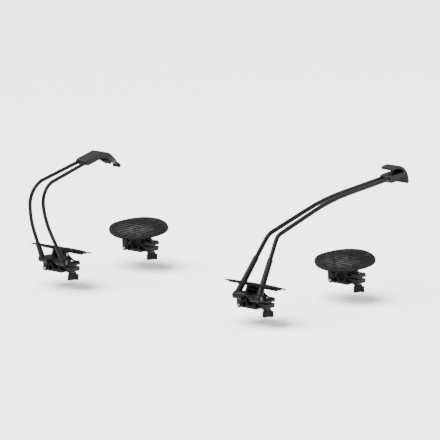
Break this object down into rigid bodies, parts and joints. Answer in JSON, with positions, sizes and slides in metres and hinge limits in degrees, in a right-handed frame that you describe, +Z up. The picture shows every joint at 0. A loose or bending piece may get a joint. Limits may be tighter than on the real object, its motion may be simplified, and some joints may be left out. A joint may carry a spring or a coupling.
{
  "type": "kayak roof carrier",
  "caption": "Clamp-on saddles for round roof crossbars, with tilting rubber pads and hooked two-rod arms that swing over a kayak.",
  "frame": {"origin": "centre of the bar seat of the front arm unit, on the front crossbar's axis", "axes": "+X forward along the vehicle, +Y across it along the crossbars from the arm units to the saddle units, +Z up"},
  "size_m": [0.97, 0.8118, 0.3605],
  "materials": {
    "moulding": "black glass-filled nylon, fine moulded grain",
    "knob_plastic": "black nylon, worn satin on the wing edges",
    "pad_rubber": "dark grey moulded rubber with grip grooves",
    "liner_rubber": "soft black rubber",
    "rod_coat": "satin black powder coat over solid aluminium rod",
    "black_bolt": "blackened steel",
    "steel": "zinc-plated steel"
  },
  "bodies": {
    "root": {"front_arm_base": "moulding", "front_arm_liner_top": "liner_rubber", "front_arm_jaw_pin": "steel", "front_arm_clamp_bolt": "steel", "front_arm_tilt_pin": "steel", "front_arm_pivot_bolts": "black_bolt", "rear_arm_base": "moulding", "rear_arm_liner_top": "liner_rubber", "rear_arm_jaw_pin": "steel", "rear_arm_clamp_bolt": "steel", "rear_arm_tilt_pin": "steel", "rear_arm_pivot_bolts": "black_bolt", "front_saddle_base": "moulding", "front_saddle_liner_top": "liner_rubber", "front_saddle_jaw_pin": "steel", "front_saddle_clamp_bolt": "steel", "front_saddle_tilt_pin": "steel", "rear_saddle_base": "moulding", "rear_saddle_liner_top": "liner_rubber", "rear_saddle_jaw_pin": "steel", "rear_saddle_clamp_bolt": "steel", "rear_saddle_tilt_pin": "steel"},
    "front_arm_jaw_body": {"front_arm_jaw": "moulding", "front_arm_liner_bottom": "liner_rubber"},
    "front_arm_washer_body": {"front_arm_washer": "steel"},
    "front_arm_knob_body": {"front_arm_knob": "knob_plastic"},
    "front_arm_pad_body": {"front_arm_pad_carrier": "moulding", "front_arm_pad": "pad_rubber"},
    "rear_arm_jaw_body": {"rear_arm_jaw": "moulding", "rear_arm_liner_bottom": "liner_rubber"},
    "rear_arm_washer_body": {"rear_arm_washer": "steel"},
    "rear_arm_knob_body": {"rear_arm_knob": "knob_plastic"},
    "rear_arm_pad_body": {"rear_arm_pad_carrier": "moulding", "rear_arm_pad": "pad_rubber"},
    "front_saddle_jaw_body": {"front_saddle_jaw": "moulding", "front_saddle_liner_bottom": "liner_rubber"},
    "front_saddle_washer_body": {"front_saddle_washer": "steel"},
    "front_saddle_knob_body": {"front_saddle_knob": "knob_plastic"},
    "front_saddle_pad_body": {"front_saddle_pad_carrier": "moulding", "front_saddle_pad": "pad_rubber"},
    "rear_saddle_jaw_body": {"rear_saddle_jaw": "moulding", "rear_saddle_liner_bottom": "liner_rubber"},
    "rear_saddle_washer_body": {"rear_saddle_washer": "steel"},
    "rear_saddle_knob_body": {"rear_saddle_knob": "knob_plastic"},
    "rear_saddle_pad_body": {"rear_saddle_pad_carrier": "moulding", "rear_saddle_pad": "pad_rubber"},
    "front_over_arm": {"front_arm_rod_front": "rod_coat", "front_arm_rod_rear": "rod_coat", "front_arm_socket_front": "moulding", "front_arm_socket_rear": "moulding", "front_arm_hook": "moulding", "front_arm_hook_lining": "liner_rubber"},
    "rear_over_arm": {"rear_arm_rod_front": "rod_coat", "rear_arm_rod_rear": "rod_coat", "rear_arm_socket_front": "moulding", "rear_arm_socket_rear": "moulding", "rear_arm_hook": "moulding", "rear_arm_hook_lining": "liner_rubber"}
  },
  "joints": [
    {"name": "front_arm_knob_turn", "type": "hinge", "parent": "front_arm_washer_body", "child": "front_arm_knob_body", "pos_m": [0.048, 0, -0.0219], "axis": [0, 0, -1], "range_deg": [0, 2160]},
    {"name": "front_arm_washer_travel", "type": "slide", "parent": "root", "child": "front_arm_washer_body", "axis": [0, 0, -1], "range_m": [0, 0.0061]},
    {"name": "front_arm_jaw_swing", "type": "hinge", "parent": "root", "child": "front_arm_jaw_body", "pos_m": [-0.044, 0, -0.019], "axis": [0, 1, 0], "range_deg": [0, 3.8]},
    {"name": "front_arm_pad_tilt", "type": "hinge", "parent": "root", "child": "front_arm_pad_body", "pos_m": [0, 0, 0.03], "axis": [1, 0, 0], "range_deg": [-5, 35]},
    {"name": "rear_arm_knob_turn", "type": "hinge", "parent": "rear_arm_washer_body", "child": "rear_arm_knob_body", "pos_m": [-0.712, 0, -0.0219], "axis": [0, 0, -1], "range_deg": [0, 2160]},
    {"name": "rear_arm_washer_travel", "type": "slide", "parent": "root", "child": "rear_arm_washer_body", "axis": [0, 0, -1], "range_m": [0, 0.0061]},
    {"name": "rear_arm_jaw_swing", "type": "hinge", "parent": "root", "child": "rear_arm_jaw_body", "pos_m": [-0.804, 0, -0.019], "axis": [0, 1, 0], "range_deg": [0, 3.8]},
    {"name": "rear_arm_pad_tilt", "type": "hinge", "parent": "root", "child": "rear_arm_pad_body", "pos_m": [-0.76, 0, 0.03], "axis": [1, 0, 0], "range_deg": [-5, 35]},
    {"name": "front_saddle_knob_turn", "type": "hinge", "parent": "front_saddle_washer_body", "child": "front_saddle_knob_body", "pos_m": [0.048, 0.425, -0.0219], "axis": [0, 0, -1], "range_deg": [0, 2160]},
    {"name": "front_saddle_washer_travel", "type": "slide", "parent": "root", "child": "front_saddle_washer_body", "axis": [0, 0, -1], "range_m": [0, 0.0061]},
    {"name": "front_saddle_jaw_swing", "type": "hinge", "parent": "root", "child": "front_saddle_jaw_body", "pos_m": [-0.044, 0.425, -0.019], "axis": [0, 1, 0], "range_deg": [0, 3.8]},
    {"name": "front_saddle_pad_tilt", "type": "hinge", "parent": "root", "child": "front_saddle_pad_body", "pos_m": [0, 0.425, 0.03], "axis": [1, 0, 0], "range_deg": [-33, 7]},
    {"name": "rear_saddle_knob_turn", "type": "hinge", "parent": "rear_saddle_washer_body", "child": "rear_saddle_knob_body", "pos_m": [-0.712, 0.365, -0.0219], "axis": [0, 0, -1], "range_deg": [0, 2160]},
    {"name": "rear_saddle_washer_travel", "type": "slide", "parent": "root", "child": "rear_saddle_washer_body", "axis": [0, 0, -1], "range_m": [0, 0.0061]},
    {"name": "rear_saddle_jaw_swing", "type": "hinge", "parent": "root", "child": "rear_saddle_jaw_body", "pos_m": [-0.804, 0.365, -0.019], "axis": [0, 1, 0], "range_deg": [0, 3.8]},
    {"name": "rear_saddle_pad_tilt", "type": "hinge", "parent": "root", "child": "rear_saddle_pad_body", "pos_m": [-0.76, 0.365, 0.03], "axis": [1, 0, 0], "range_deg": [-33, 7]},
    {"name": "front_over_arm_swing", "type": "hinge", "parent": "root", "child": "front_over_arm", "pos_m": [0, -0.033, 0.014], "axis": [1, 0, 0], "range_deg": [-6, 110]},
    {"name": "rear_over_arm_swing", "type": "hinge", "parent": "root", "child": "rear_over_arm", "pos_m": [-0.76, -0.033, 0.014], "axis": [1, 0, 0], "range_deg": [-20, 90]}
  ],
  "couplings": [
    {"joint": "front_arm_washer_travel", "follows": "front_arm_knob_turn", "m_per_rad": 0.00015915},
    {"joint": "front_arm_jaw_swing", "follows": "front_arm_knob_turn", "ratio": 0.0017312},
    {"joint": "rear_arm_washer_travel", "follows": "rear_arm_knob_turn", "m_per_rad": 0.00015915},
    {"joint": "rear_arm_jaw_swing", "follows": "rear_arm_knob_turn", "ratio": 0.0017312},
    {"joint": "front_saddle_washer_travel", "follows": "front_saddle_knob_turn", "m_per_rad": 0.00015915},
    {"joint": "front_saddle_jaw_swing", "follows": "front_saddle_knob_turn", "ratio": 0.0017312},
    {"joint": "rear_saddle_washer_travel", "follows": "rear_saddle_knob_turn", "m_per_rad": 0.00015915},
    {"joint": "rear_saddle_jaw_swing", "follows": "rear_saddle_knob_turn", "ratio": 0.0017312}
  ]
}
